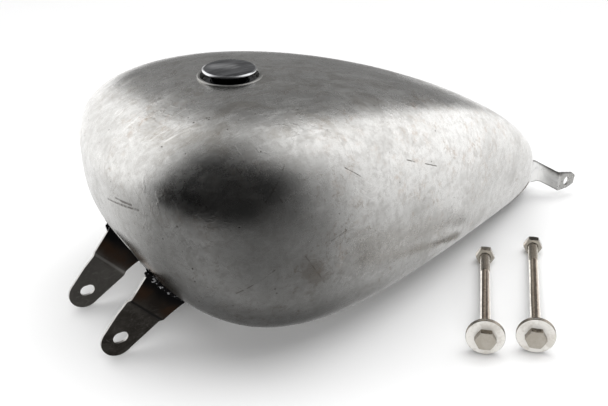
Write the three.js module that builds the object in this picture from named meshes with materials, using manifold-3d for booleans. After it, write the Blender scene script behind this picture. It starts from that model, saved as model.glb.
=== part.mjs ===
// A teardrop motorcycle fuel tank with a pop-up filler cap and its loose mounting bolts.
// Units are millimetres, +X points to the rear of the motorcycle, +Z up, and -Y is its left side.
// Heights and stations below are measured from the ground under the tank and from its nose. The
// exported group then moves them, so that the origin lies under the filler cap, on the tunnel's roof.
import * as THREE from "three";
import { ParametricGeometry } from "three/addons/geometries/ParametricGeometry.js";
import { mergeVertices } from "three/addons/utils/BufferGeometryUtils.js";
import Module from "manifold-3d";

const wasm = await Module();
wasm.setup();

// ---- driving dimensions ----
// tank body: every curve is a polynomial blend (Bernstein weights) times sqrt(t (1 - t)), t = x / length
const TANK_LENGTH = 530;
const NOSE_HEIGHT = 156.7;
const TAIL_HEIGHT = 30.7;
const HALF_WIDTH_WEIGHTS = [557, 291, 268, 156, 125];
const CROWN_WEIGHTS = [221, 240.5, 203.5, 200.4];
const BELLY_WEIGHTS = [414, 175, 107.5, 107.5];
const WAIST_SHIFT = -0.03; // the widest line, as a share of the crown's height over the nose-tail line
const CROWN_POWER = 2.82; // superellipse exponents of the section above and below the widest line
const BELLY_POWER = 3.33;
const SKIN = 1.6; // steel sheet
const GAP = 0.3; // clearance between pieces that are welded or that slide
const AROUND = 32; // facets around and along the body
const ALONG = 20;

// tunnel over the frame's backbone
const TUNNEL_FRONT_HALF = 40;
const TUNNEL_REAR_HALF = 24;
const ROOF_HEIGHT = 95.4;
const ROOF_REAR_HEIGHT = 21.4;
const ROOF_BEND_X = 200; // the roof is level up to here and then falls to the tail
const SEAM_LIP = 8; // how far the bottom pan wraps up the sides
const SEAM_FRONT_X = 92;

// filler
const CAP_X = 131;
const BUNG_RADIUS = 29.4;
const BUNG_RIM = 0.9; // the rim's height over the crown
const RECESS_RADIUS = 26.5;
const RECESS_DEPTH = 9;
const NECK_RADIUS = 20.5;
const NECK_DEPTH = 30;
const LID_RADIUS = 24.4;
const LID_TOP = 7; // the lid's height over the crown when popped up
const STEM_RADIUS = 5.9;

// front tabs
const TAB_THICK = 3;
const TAB_FACE_Y = 48; // outer face of the welded half of each tab
const TAB_JOGGLE = 3; // the bolted half steps inwards by this much
const TAB_END_RADIUS = 15.8;
const TAB_LEAN = 41; // degrees, of the tab's length over the ground
const TAB_CREASE = 36.5; // the joggle's distance from the rounded end's centre
const TAB_END = { x: -13.6, z: 16.2 }; // centre of the rounded end
const SLOT_SETBACK = 3.5; // from that centre, up along the tab
const SLOT_WIDTH = 10.6;
const SLOT_LENGTH = 14;

// rear ear
const EAR_THICK = 2.6;
const EAR_BASE_Y = -16;
const EAR_END_Y = -36.5;
const EAR_BEND_FROM = 530; // the strap steps outwards between these stations
const EAR_BEND_TO = 545;
const EAR_HOLE = { x: 558, z: 17.8 };

// fuel outlet
const OUTLET = { x: 300, y: -52, radius: 11.6, bore: 7.6, bottom: 9.6, height: 14 };

// loose bolts, M10: each lies on its washers and its nut, head towards the front left
const BOLT_RADIUS = 4.9;
const HEX_FLATS = 17;
const HEAD_HEIGHT = 6.6;
const NUT_HEIGHT = 8.6;
const WASHER_RADIUS = 17.5;
const WASHER_BORE = 5.4;
const WASHER_THICK = 2.1;
const NUT_BORE = 5.2;
const THREAD_PAST_NUT = 2;
const BOLTS = [
  { number: 1, x: 264.2, y: -216.2, heading: 47.1, grip: 150 },
  { number: 2, x: 303.9, y: -238.6, heading: 45.2, grip: 170 },
];

// ---- helpers: three.js geometry to a manifold solid and back ----
function solid(geometry, matrix) {
  const bare = new THREE.BufferGeometry();
  const flat = geometry.index ? geometry.toNonIndexed() : geometry;
  bare.setAttribute("position", flat.getAttribute("position").clone());
  if (matrix) bare.applyMatrix4(matrix);
  const merged = mergeVertices(bare, 1e-3);
  const kept = [];
  const index = merged.index.array;
  for (let i = 0; i < index.length; i += 3) {
    const [a, b, c] = index.slice(i, i + 3);
    if (a !== b && b !== c && c !== a) kept.push(a, b, c);
  }
  return new wasm.Manifold(
    new wasm.Mesh({
      numProp: 3,
      vertProperties: new Float32Array(merged.getAttribute("position").array),
      triVerts: new Uint32Array(kept),
    }),
  );
}

function geometryOf(body) {
  const mesh = body.getMesh();
  const positions = new Float32Array(mesh.numVert * 3);
  for (let i = 0; i < mesh.numVert; i++)
    for (let k = 0; k < 3; k++) positions[3 * i + k] = mesh.vertProperties[mesh.numProp * i + k];
  const geometry = new THREE.BufferGeometry();
  geometry.setAttribute("position", new THREE.BufferAttribute(positions, 3));
  geometry.setIndex(new THREE.BufferAttribute(new Uint32Array(mesh.triVerts), 1));
  geometry.computeVertexNormals();
  return geometry;
}

function piece(name, body, material) {
  const geometry = body instanceof THREE.BufferGeometry ? body : geometryOf(body);
  const mesh = new THREE.Mesh(geometry, material.clone());
  mesh.name = name;
  return mesh;
}

const moved = (x, y, z) => new THREE.Matrix4().makeTranslation(x, y, z);

// three.js turns its cylinders and lathes around Y: this stands them up along Z.
const UPRIGHT = new THREE.Matrix4().makeRotationX(Math.PI / 2);

// A cylinder around Z, centred at x, y, z.
function cylinder(radius, height, segments, x, y, z) {
  const geometry = new THREE.CylinderGeometry(radius, radius, height, segments);
  return solid(geometry, moved(x, y, z).multiply(UPRIGHT));
}

// A turned piece around Z: points are [radius, height], and the profile closes on itself.
function turned(points, segments = 32) {
  const profile = [...points, points[0]].map(([r, h]) => new THREE.Vector2(Math.max(r, 0), h));
  return solid(new THREE.LatheGeometry(profile, segments), UPRIGHT);
}

// A flat outline in the XZ plane, extruded along Y from yLow to yHigh.
function sidePlate(shape, yLow, yHigh) {
  const geometry = new THREE.ExtrudeGeometry(shape, {
    depth: yHigh - yLow,
    bevelEnabled: false,
    curveSegments: 8,
  });
  return solid(geometry, moved(0, yHigh, 0).multiply(UPRIGHT));
}

// A box given by its low and high corners.
function block(low, high) {
  const size = high.map((v, i) => v - low[i]);
  const middle = high.map((v, i) => (v + low[i]) / 2);
  return solid(new THREE.BoxGeometry(...size), moved(...middle));
}

function polygon(points) {
  return new THREE.Shape(points.map(([a, b]) => new THREE.Vector2(a, b)));
}

// The outline of a strip of constant thickness on the left of a polyline, with mitred corners.
function stripOutline(path, thickness) {
  const points = path.map(([a, b]) => new THREE.Vector2(a, b));
  const normals = points.slice(1).map((p, i) => {
    const d = p.clone().sub(points[i]).normalize();
    return new THREE.Vector2(-d.y, d.x);
  });
  const far = points.map((p, i) => {
    const before = normals[Math.max(i - 1, 0)];
    const after = normals[Math.min(i, normals.length - 1)];
    const mitre = before.clone().add(after).normalize();
    return p.clone().addScaledVector(mitre, thickness / mitre.dot(before));
  });
  return new THREE.Shape([...points, ...far.reverse()]);
}

// ---- the body's surface ----
function bernstein(weights, t) {
  let row = weights;
  while (row.length > 1) row = row.slice(1).map((w, i) => row[i] * (1 - t) + w * t);
  return row[0];
}

function section(x) {
  const t = THREE.MathUtils.clamp(x / TANK_LENGTH, 0, 1);
  const swell = Math.sqrt(t * (1 - t));
  const chord = NOSE_HEIGHT + (TAIL_HEIGHT - NOSE_HEIGHT) * t;
  const crown = chord + swell * bernstein(CROWN_WEIGHTS, t);
  return {
    halfWidth: swell * bernstein(HALF_WIDTH_WEIGHTS, t),
    crown,
    belly: chord - swell * bernstein(BELLY_WEIGHTS, t),
    waist: chord + WAIST_SHIFT * (crown - chord),
  };
}

const signedPower = (v, power) => Math.sign(v) * Math.abs(v) ** power;

// u runs once around the section, v from nose to tail.
function bodyPoint(u, v) {
  const x = (TANK_LENGTH * (1 - Math.cos(Math.PI * v))) / 2;
  const { halfWidth, crown, belly, waist } = section(x);
  const c = Math.cos(2 * Math.PI * u);
  const s = Math.sin(2 * Math.PI * u);
  const power = 2 / (s >= 0 ? CROWN_POWER : BELLY_POWER);
  const rise = s >= 0 ? crown - waist : waist - belly;
  return new THREE.Vector3(
    x,
    halfWidth * signedPower(c, power),
    waist + rise * signedPower(s, power),
  );
}

// The whole body as one solid, its surface moved outwards by offset.
function bodySolid(offset) {
  const step = 0.004;
  const surface = (u, v, target) => {
    const p = bodyPoint(u, v);
    if (v === 0 || v === 1) {
      target.set(p.x + (v === 0 ? -offset : offset), 0, p.z);
      return;
    }
    const du = bodyPoint(u + step, v).sub(bodyPoint(u - step, v));
    const dv = bodyPoint(u, v + step).sub(bodyPoint(u, v - step));
    target.copy(p).addScaledVector(du.cross(dv).normalize(), offset);
  };
  return solid(new ParametricGeometry(surface, AROUND, ALONG));
}

// ---- the tunnel, as a solid arch that tapers to the tail ----
const tunnelHalf = (x) =>
  THREE.MathUtils.mapLinear(x, 0, TANK_LENGTH, TUNNEL_FRONT_HALF, TUNNEL_REAR_HALF);
const roofHeight = (x) =>
  x <= ROOF_BEND_X
    ? ROOF_HEIGHT
    : THREE.MathUtils.mapLinear(x, ROOF_BEND_X, TANK_LENGTH, ROOF_HEIGHT, ROOF_REAR_HEIGHT);

function tunnelSolid(grow) {
  const base = -30;
  const start = -160; // far enough ahead of the nose for the middle of the block to be the roof's bend
  const span = 2 * (ROOF_BEND_X - start);
  const corner = 0.3;
  const arch = new THREE.Shape();
  arch.moveTo(-1, 0);
  arch.lineTo(1, 0);
  arch.lineTo(1, 1 - corner);
  arch.absarc(1 - corner, 1 - corner, corner, 0, Math.PI / 2, false);
  arch.absarc(corner - 1, 1 - corner, corner, Math.PI / 2, Math.PI, false);
  arch.closePath();
  const geometry = new THREE.ExtrudeGeometry(arch, {
    depth: 1,
    steps: 2,
    bevelEnabled: false,
    curveSegments: 4,
  });
  const position = geometry.getAttribute("position");
  for (let i = 0; i < position.count; i++) {
    const x = start + span * position.getZ(i);
    const half = tunnelHalf(x) + grow;
    const top = roofHeight(x) + grow;
    position.setXYZ(i, x, position.getX(i) * half, base + position.getY(i) * (top - base));
  }
  return solid(geometry);
}

// The zone that belongs to the bottom pan: everything under a line that follows the belly.
function panZone(grow) {
  const points = [[SEAM_FRONT_X - grow, -60]];
  for (let x = SEAM_FRONT_X + 18; x <= 520; x += 41)
    points.push([x, section(x).belly + SEAM_LIP + grow]);
  points.push([TANK_LENGTH + 40, section(520).belly + SEAM_LIP + grow]);
  points.push([TANK_LENGTH + 40, -60]);
  return sidePlate(polygon(points), -250, 250);
}

const crownAtCap = section(CAP_X).crown;

// ---- materials ----
const material = (color, roughness, metalness) =>
  new THREE.MeshStandardMaterial({ color, roughness, metalness });
const rawSteel = material(0xb9b9b7, 0.38, 1);
const tunnelSteel = material(0x8f8f8c, 0.5, 1);
const heatedSteel = material(0x2a2724, 0.55, 0.8);
const brightSteel = material(0xc9c9c6, 0.28, 1);
const blackChrome = material(0x33353a, 0.12, 1);
const chrome = material(0xdadbdd, 0.08, 1);
const zinc = material(0xc8c4ba, 0.22, 1);
const rubber = material(0x1b1b1b, 0.85, 0);
const springSteel = material(0x77787a, 0.3, 1);

// ---- tank: two skins, the pan with the tunnel, the bungs and the brackets ----
function tankPieces() {
  const outer = bodySolid(0);
  const skin = outer.subtract(bodySolid(-SKIN));
  const bungHole = cylinder(BUNG_RADIUS + GAP, 60, 40, CAP_X, 0, crownAtCap);
  const sideSkin = skin
    .subtract(tunnelSolid(SKIN + GAP))
    .subtract(panZone(GAP))
    .subtract(bungHole);
  const reach = 700;
  const leftHalf = block([-100, -reach, -100], [reach, -GAP / 2, 400]);
  const rightHalf = block([-100, GAP / 2, -100], [reach, reach, 400]);

  const tunnelWall = tunnelSolid(SKIN).intersect(outer);
  const outletHole = cylinder(OUTLET.radius + GAP, 60, 28, OUTLET.x, OUTLET.y, 0);
  const pan = skin
    .intersect(panZone(0))
    .add(tunnelWall)
    .subtract(tunnelSolid(0))
    .subtract(outletHole);

  return [
    piece("left_shell", sideSkin.intersect(leftHalf), rawSteel),
    piece("right_shell", sideSkin.intersect(rightHalf), rawSteel),
    piece("tunnel_pan", pan, tunnelSteel),
    piece("filler_bung", fillerBung(), rawSteel),
    piece("fuel_outlet_bung", fuelOutletBung(), tunnelSteel),
    piece("front_left_tab", frontTab(-1), heatedSteel),
    piece("front_right_tab", frontTab(1), heatedSteel),
    piece("rear_ear", rearEar(), brightSteel),
  ];
}

function fillerBung() {
  const wall = 3.4;
  const step = RECESS_DEPTH + wall;
  return turned([
    [RECESS_RADIUS, BUNG_RIM],
    [RECESS_RADIUS, -RECESS_DEPTH],
    [NECK_RADIUS, -RECESS_DEPTH],
    [NECK_RADIUS, -NECK_DEPTH],
    [NECK_RADIUS + wall, -NECK_DEPTH],
    [NECK_RADIUS + wall, -step],
    [BUNG_RADIUS, -step],
    [BUNG_RADIUS, BUNG_RIM - 0.8],
    [BUNG_RADIUS - 0.8, BUNG_RIM],
  ]).translate([CAP_X, 0, crownAtCap]);
}

function fuelOutletBung() {
  const { x, y, radius, bore, bottom, height } = OUTLET;
  return turned(
    [
      [bore, bottom],
      [radius, bottom],
      [radius, bottom + height],
      [bore, bottom + height],
    ],
    28,
  ).translate([x, y, 0]);
}

// A plate that runs from the tank's front corner down and forwards, with a joggle and a slotted end.
function frontTab(side) {
  const { x, z } = TAB_END;
  const lean = THREE.MathUtils.degToRad(TAB_LEAN);
  const across = lean + Math.PI / 2;
  const end = (angle) => [
    x + TAB_END_RADIUS * Math.cos(angle),
    z + TAB_END_RADIUS * Math.sin(angle),
  ];
  const shape = new THREE.Shape();
  shape.moveTo(...end(across));
  shape.absarc(x, z, TAB_END_RADIUS, across, across + Math.PI, false);
  for (const point of [
    [5.2, 9.3],
    [22, 19.5],
    [37, 28.4],
    [48, 33.6],
    [66, 40.4],
    [66, 99.4],
    [27, 99.4],
    [24.6, 85],
    [17.4, 74.5],
    [11, 66.9],
    [3.6, 57.4],
    [-11.2, 43.3],
  ])
    shape.lineTo(...point);
  shape.closePath();

  const slotHalf = (SLOT_LENGTH - SLOT_WIDTH) / 2;
  const slotX = x + SLOT_SETBACK * Math.cos(lean);
  const slotZ = z + SLOT_SETBACK * Math.sin(lean);
  const slot = new THREE.Path();
  slot.absarc(slotX + slotHalf, slotZ, SLOT_WIDTH / 2, -Math.PI / 2, Math.PI / 2, false);
  slot.absarc(slotX - slotHalf, slotZ, SLOT_WIDTH / 2, Math.PI / 2, 1.5 * Math.PI, false);
  slot.closePath();
  shape.holes.push(slot);

  const outline = sidePlate(shape, TAB_FACE_Y - 12, TAB_FACE_Y + 2);
  // the joggle's profile: along the tab from its rounded end, and outwards
  const inner = TAB_FACE_Y - TAB_THICK;
  const profile = stripOutline(
    [
      [-40, inner - TAB_JOGGLE],
      [TAB_CREASE - 2, inner - TAB_JOGGLE],
      [TAB_CREASE + 2, inner],
      [140, inner],
    ],
    TAB_THICK,
  );
  const slab = new THREE.ExtrudeGeometry(profile, { depth: 240, bevelEnabled: false });
  // profile's first axis goes along the tab, its second axis to +Y, and the depth across the tab
  const along = new THREE.Vector3(Math.cos(lean), 0, Math.sin(lean));
  const outwards = new THREE.Vector3(0, 1, 0);
  const frame = new THREE.Matrix4().makeBasis(
    along,
    outwards,
    new THREE.Vector3().crossVectors(along, outwards),
  );
  frame.premultiply(moved(x, 0, z)).multiply(moved(0, 0, -120));
  const tab = outline.intersect(solid(slab, frame)).subtract(bodySolid(GAP));
  return side > 0 ? tab : tab.mirror([0, 1, 0]);
}

// A strap from the tail's end that turns out to the left and ends in an upright lug with a hole.
function rearEar() {
  const { x, z } = EAR_HOLE;
  const shape = new THREE.Shape();
  const corners = [
    [500, 53.4],
    [523, 45.4],
    [543, 32.6],
    [566, 26.9],
    [572, 21.9],
    [570.5, 11.4],
    [561, 8.2],
    [545, 8.2],
    [531, 16.9],
    [519, 17.9],
    [500, 17.9],
  ];
  corners.forEach(([a, b], i) => (i ? shape.lineTo(a, b) : shape.moveTo(a, b)));
  shape.closePath();
  const hole = new THREE.Path();
  hole.absellipse(x, z, 4.6, 5.6, 0, 2 * Math.PI, false, 0);
  shape.holes.push(hole);
  const outline = sidePlate(shape, EAR_END_Y - 20, 0);
  const profile = stripOutline(
    [
      [495, EAR_BASE_Y],
      [EAR_BEND_FROM, EAR_BASE_Y - 1],
      [EAR_BEND_TO, EAR_END_Y],
      [590, EAR_END_Y],
    ],
    -EAR_THICK,
  );
  const strap = new THREE.ExtrudeGeometry(profile, { depth: 80, bevelEnabled: false });
  return outline.intersect(solid(strap, moved(0, 0, -10))).subtract(bodySolid(GAP));
}

// ---- pop-up cap: heights are over the crown at the cap's axis ----
function capPieces() {
  const group = new THREE.Group();
  group.position.set(CAP_X, 0, crownAtCap);
  const seat = -RECESS_DEPTH + GAP;
  const sealThick = 1.5;
  const flangeLow = seat + sealThick + GAP;
  const flangeHigh = flangeLow + 2;
  const flangeRadius = 24.9;
  const plugRadius = NECK_RADIUS - 0.4;
  const cupRadius = 17.5;
  const plateLow = -28;
  const plateHigh = plateLow + 3;
  const guideRadius = STEM_RADIUS + 0.4;
  const ventHole = 2.7;
  const ventAt = 13.2;

  const seal = turned([
    [plugRadius + 0.9, seat],
    [24.4, seat],
    [24.4, seat + sealThick],
    [plugRadius + 0.9, seat + sealThick],
  ]);

  const ring = new THREE.TorusGeometry(25.75, 0.5, 6, 32);
  ring.translate(0, 0, flangeLow + 1);

  const plug = turned([
    [guideRadius, plateLow],
    [plugRadius, plateLow],
    [plugRadius, flangeLow],
    [flangeRadius, flangeLow],
    [flangeRadius, flangeHigh],
    [cupRadius, flangeHigh],
    [cupRadius, plateHigh],
    [guideRadius, plateHigh],
  ]).subtract(cylinder(ventHole, 20, 16, ventAt, 0, plateLow));

  const ventValve = turned(
    [
      [0, plateLow - 2],
      [ventHole - GAP, plateLow - 2],
      [ventHole - GAP, plateHigh + GAP],
      [ventHole + 0.9, plateHigh + GAP],
      [ventHole + 0.9, plateHigh + 1.5],
      [0, plateHigh + 1.5],
    ],
    16,
  ).translate([ventAt, 0, 0]);

  const lidLow = LID_TOP - 3;
  const plateTop = lidLow - GAP;
  const plateUnder = plateTop - 2.5;
  const skirtOuter = cupRadius - 0.4;
  const knob = turned([
    [0, -32],
    [STEM_RADIUS, -32],
    [STEM_RADIUS, plateUnder],
    [skirtOuter - 2, plateUnder],
    [skirtOuter - 2, -12],
    [skirtOuter, -12],
    [skirtOuter, plateTop],
    [0, plateTop],
  ]);

  const lid = turned([
    [0, lidLow],
    [LID_RADIUS - 0.8, lidLow],
    [LID_RADIUS, lidLow + 0.7],
    [LID_RADIUS, LID_TOP - 1.4],
    [LID_RADIUS - 0.7, LID_TOP - 0.7],
    [LID_RADIUS - 4, LID_TOP - 0.3],
    [0, LID_TOP],
  ]);

  const clip = turned(
    [
      [STEM_RADIUS + GAP, plateLow - GAP - 1.5],
      [9.5, plateLow - GAP - 1.5],
      [9.5, plateLow - GAP],
      [STEM_RADIUS + GAP, plateLow - GAP],
    ],
    28,
  );

  group.add(
    piece("cap_seal", seal, rubber),
    piece("cap_o_ring", ring, rubber),
    piece("cap_plug", plug, blackChrome),
    piece("cap_vent_valve", ventValve, brightSteel),
    piece("cap_spring", capSpring(plateHigh + GAP, plateUnder - GAP), springSteel),
    piece("cap_knob", knob, blackChrome),
    piece("cap_lid", lid, chrome),
    piece("cap_clip", clip, springSteel),
  );
  return group;
}

class Helix extends THREE.Curve {
  constructor(radius, low, high, turns) {
    super();
    Object.assign(this, { radius, low, high, turns });
  }
  getPoint(t, target = new THREE.Vector3()) {
    const angle = 2 * Math.PI * this.turns * t;
    const z = this.low + (this.high - this.low) * t;
    return target.set(this.radius * Math.cos(angle), this.radius * Math.sin(angle), z);
  }
}

function capSpring(low, high) {
  const wire = 0.7;
  const turns = 4;
  const loop = new THREE.Shape();
  loop.absarc(0, 0, wire, 0, 2 * Math.PI, false);
  return solid(
    new THREE.ExtrudeGeometry(loop, {
      extrudePath: new Helix(8.2, low + wire, high - wire, turns),
      steps: 12 * turns,
      curveSegments: 3,
    }),
  );
}

// ---- loose bolts: local +Z runs from the head to the nut, 0 is the head's bearing face ----
function hexagon(height, bore, chamferTop, chamferBottom) {
  const corner = HEX_FLATS / Math.sqrt(3);
  const prism = solid(
    new THREE.CylinderGeometry(corner, corner, height, 6, 1, false, Math.PI / 6),
    moved(0, 0, height / 2).multiply(UPRIGHT),
  );
  const cut = 1.3;
  const flat = HEX_FLATS / 2 - 0.2;
  const cone = turned(
    [
      [bore, 0],
      [chamferBottom ? flat : corner + 1, 0],
      [corner + 1, chamferBottom ? cut : 0.5],
      [corner + 1, height - (chamferTop ? cut : 0.5)],
      [chamferTop ? flat : corner + 1, height],
      [bore, height],
    ],
    24,
  );
  return prism.intersect(cone);
}

function boltPieces({ number, x, y, heading, grip }) {
  const head = hexagon(HEAD_HEIGHT, 0, false, true).translate([0, 0, -HEAD_HEIGHT]);
  const firstWasher = GAP;
  const secondWasher = firstWasher + WASHER_THICK + GAP;
  const nutLow = grip;
  const tip = nutLow + NUT_HEIGHT + THREAD_PAST_NUT;
  const shank = turned(
    [
      [0, -1],
      [BOLT_RADIUS, -1],
      [BOLT_RADIUS, tip - 1],
      [BOLT_RADIUS - 1, tip],
      [0, tip],
    ],
    24,
  );
  const washer = (low) =>
    turned([
      [WASHER_BORE, low],
      [WASHER_RADIUS, low],
      [WASHER_RADIUS, low + WASHER_THICK],
      [WASHER_BORE, low + WASHER_THICK],
    ]);
  const nut = hexagon(NUT_HEIGHT, NUT_BORE, true, true).translate([0, 0, nutLow]);

  // the axis falls from the head to the nut, so that the inner washer and the nut both touch the ground
  const group = new THREE.Group();
  const stack = secondWasher + WASHER_THICK;
  const run = nutLow + NUT_HEIGHT - stack;
  const fall = Math.atan((WASHER_RADIUS - HEX_FLATS / 2) / run);
  const turn = THREE.MathUtils.degToRad(heading);
  const axis = new THREE.Vector3(
    Math.cos(fall) * Math.cos(turn),
    Math.cos(fall) * Math.sin(turn),
    -Math.sin(fall),
  );
  const level = new THREE.Vector3(-Math.sin(turn), Math.cos(turn), 0);
  group.setRotationFromMatrix(
    new THREE.Matrix4().makeBasis(level, new THREE.Vector3().crossVectors(axis, level), axis),
  );
  group.position.set(x, y, WASHER_RADIUS * Math.cos(fall) + stack * Math.sin(fall));
  group.add(
    piece(`bolt_${number}`, shank.add(head), zinc),
    piece(`washer_${number}_outer`, washer(firstWasher), zinc),
    piece(`washer_${number}_inner`, washer(secondWasher), zinc),
    piece(`nut_${number}`, nut, zinc),
  );
  return group;
}

// ---- assembly ----
const tank = new THREE.Group();
tank.name = "fuel_tank";
tank.position.set(-CAP_X, 0, -ROOF_HEIGHT);
tank.add(...tankPieces(), capPieces());
for (const bolt of BOLTS) tank.add(boltPieces(bolt));

export default tank;
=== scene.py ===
"""Looks of the motorcycle fuel tank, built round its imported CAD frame.

The frame is in metres, +X to the rear, +Z up, -Y left. The shapes are drawn in millimetres from the nose
and the ground, with the CAD's own sizes, and row() turns those into the frame's metres.
"""
import math

import bmesh
import bpy
import numpy as np
from mathutils import Matrix, Vector


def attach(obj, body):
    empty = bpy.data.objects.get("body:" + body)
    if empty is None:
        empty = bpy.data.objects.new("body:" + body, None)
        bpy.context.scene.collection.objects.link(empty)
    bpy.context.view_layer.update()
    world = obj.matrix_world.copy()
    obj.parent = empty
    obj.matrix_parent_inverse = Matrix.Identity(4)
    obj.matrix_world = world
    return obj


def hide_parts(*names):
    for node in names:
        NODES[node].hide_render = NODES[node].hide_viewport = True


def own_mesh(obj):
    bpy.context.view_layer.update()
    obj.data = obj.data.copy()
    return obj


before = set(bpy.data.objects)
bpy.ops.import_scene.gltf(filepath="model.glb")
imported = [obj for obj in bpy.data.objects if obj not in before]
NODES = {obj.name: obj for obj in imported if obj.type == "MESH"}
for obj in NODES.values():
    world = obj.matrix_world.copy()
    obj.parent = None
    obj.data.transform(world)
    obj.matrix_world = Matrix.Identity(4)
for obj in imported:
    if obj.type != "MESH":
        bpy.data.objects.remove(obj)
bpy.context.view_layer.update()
MM = 0.001

# ---- sizes, in millimetres from the nose and the ground ----
# tank body: every curve is a polynomial blend of weights times sqrt(t (1 - t)), t = x / length
TANK_LENGTH = 530.0
NOSE_HEIGHT, TAIL_HEIGHT = 156.7, 30.7
HALF_WIDTH_WEIGHTS = (557, 291, 268, 156, 125)
CROWN_WEIGHTS = (221, 240.5, 203.5, 200.4)
BELLY_WEIGHTS = (414, 175, 107.5, 107.5)
WAIST_SHIFT = -0.03  # the widest line, as a share of the crown's height over the nose-tail line
CROWN_POWER, BELLY_POWER = 2.82, 3.33  # superellipse exponents above and below the widest line
SKIN = 1.6  # steel sheet
GAP = 0.3  # clearance between pieces that are welded or that slide

# tunnel over the frame's backbone, and the bottom pan
TUNNEL_FRONT_HALF, TUNNEL_REAR_HALF = 40, 24
ROOF_HEIGHT, ROOF_REAR_HEIGHT = 95.4, 21.4
ROOF_BEND_X = 200.0  # the roof is level up to here and then falls to the tail
SEAM_LIP = 8  # how far the bottom pan wraps up the sides
SEAM_FRONT_X, SEAM_REAR_X = 92, 520

# filler, fuel outlet and front tabs
CAP_X = 131.0
BUNG_RADIUS = 29.4
OUTLET_X, OUTLET_Y, OUTLET_HOLE = 300, -52, 11.7
TAB_FACE_Y, TAB_THICK = 48.0, 3.0  # outer face of the welded half of each tab, and thickness
TAB_LEAN = math.radians(41)
TAB_CREASE = 36.5  # from the centre of the rounded end, up along the tab
TAB_END = (-13.6, 0, 16.2)  # centre of the rounded end

# loose bolts, M10: each lies on its washers and its nut, head towards the front left
THREAD_RADIUS, THREAD_PITCH = 4.9, 1.5
HEX_FLATS, HEAD_HEIGHT, NUT_HEIGHT = 17, 6.6, 8.6
WASHER_RADIUS, WASHER_BORE, WASHER_THICK = 17.5, 5.4, 2.1
# number, x and y of the face under the head, heading in degrees, grip
BOLTS = [(1, 264.2, -216.2, 47.1, 150), (2, 303.9, -238.6, 45.2, 170)]

ORIGIN = np.array([CAP_X, 0.0, ROOF_HEIGHT])


def row(points):
    """Nose and ground coordinates in millimetres to the row frame in metres."""
    return (np.asarray(points, float) - ORIGIN) * MM


# ---- the body's surface ----
def blend_of(weights, t):
    """The polynomial blend of the weights at t (de Casteljau)."""
    level = [w + 0 * t for w in weights]
    while len(level) > 1:
        level = [a * (1 - t) + b * t for a, b in zip(level, level[1:])]
    return level[0]


def section(x):
    """Half width, and the heights of crown, belly and widest line, at a station."""
    t = np.clip(np.asarray(x, float) / TANK_LENGTH, 0, 1)
    swell = np.sqrt(t * (1 - t))
    chord = NOSE_HEIGHT + (TAIL_HEIGHT - NOSE_HEIGHT) * t
    crown = chord + swell * blend_of(CROWN_WEIGHTS, t)
    belly = chord - swell * blend_of(BELLY_WEIGHTS, t)
    return swell * blend_of(HALF_WIDTH_WEIGHTS, t), crown, belly, chord + WAIST_SHIFT * (crown - chord)


def body_points(u, v):
    """Points on the surface: u goes once round a section, v from nose to tail."""
    x = TANK_LENGTH * (1 - np.cos(np.pi * v)) / 2
    half, crown, belly, waist = section(x)
    c, s = np.cos(2 * np.pi * u), np.sin(2 * np.pi * u)
    power = np.where(s >= 0, 2 / CROWN_POWER, 2 / BELLY_POWER)
    rise = np.where(s >= 0, crown - waist, waist - belly)
    y = half * np.sign(c) * np.abs(c) ** power
    z = waist + rise * np.sign(s) * np.abs(s) ** power
    return np.stack([x + 0 * u, y, z], -1)


def half_section(x, z):
    """Half width, exponent, reach and widest line of the upper or lower half section that holds a height."""
    half, crown, belly, waist = section(x)
    upper = z >= waist
    power = np.where(upper, CROWN_POWER, BELLY_POWER)
    return half, power, np.where(upper, crown - waist, waist - belly), waist


def inside(p):
    """The body's implicit function: below 1 inside it."""
    p = np.asarray(p, float)
    half, power, rise, waist = half_section(p[..., 0], p[..., 2])
    across = np.abs(p[..., 1]) / np.maximum(half, 1e-6)
    upright = np.abs(p[..., 2] - waist) / np.maximum(rise, 1e-6)
    return across ** power + upright ** power


def side_at(x, z):
    """|y| of the surface at a station and a height."""
    half, power, rise, waist = half_section(x, z)
    return half * np.maximum(1 - (np.abs(z - waist) / rise) ** power, 0) ** (1 / power)


def surface_normal(p):
    """The outward direction of the surface at points on it."""
    p = np.asarray(p, float)
    g = np.stack([inside(p + d) - inside(p - d) for d in np.eye(3) * 0.05], -1)
    return g / np.linalg.norm(g, axis=-1, keepdims=True)


def tab_base(side, face_y):
    """The line where a front tab's plane meets the body, from low to high."""
    points = []
    heights, stations = np.linspace(39, 82, 70), np.linspace(0, 90, 1801)
    for z in heights:
        level = np.stack([stations, 0 * stations + face_y, 0 * stations + z], -1)
        hit = np.nonzero(inside(level) < 1)[0]
        if len(hit):
            points.append((stations[hit[0]], side * face_y, z))
    return np.array(points)


# ---- mesh helpers ----
def obj_of(name, vertices, faces, metres=False):
    """A mesh object, from millimetres of nose and ground unless its points are already metres."""
    mesh = bpy.data.meshes.new(name)
    points = np.asarray(vertices, float)
    mesh.from_pydata((points if metres else row(points)).tolist(), [], faces)
    mesh.validate()
    made = bpy.data.objects.new(name, mesh)
    bpy.context.scene.collection.objects.link(made)
    return made


def ring_of(radius, count, centre=(0, 0)):
    """Points round a circle."""
    turns = np.linspace(0, 2 * math.pi, count, endpoint=False)
    return [(centre[0] + radius * math.cos(a), centre[1] + radius * math.sin(a)) for a in turns]


def band(count, low, high):
    """Faces between two rings of count corners, whose first corners are low and high."""
    return [[low + i, low + (i + 1) % count, high + (i + 1) % count, high + i] for i in range(count)]


def edited(obj, change):
    """Changes the mesh of obj by a function of an open bmesh."""
    bm = bmesh.new()
    bm.from_mesh(obj.data)
    change(bm)
    bm.to_mesh(obj.data)
    bm.free()
    return obj


def faced_out(obj):
    """Turns the faces of a closed mesh outwards."""
    return edited(obj, lambda bm: bmesh.ops.recalc_face_normals(bm, faces=bm.faces))


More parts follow.
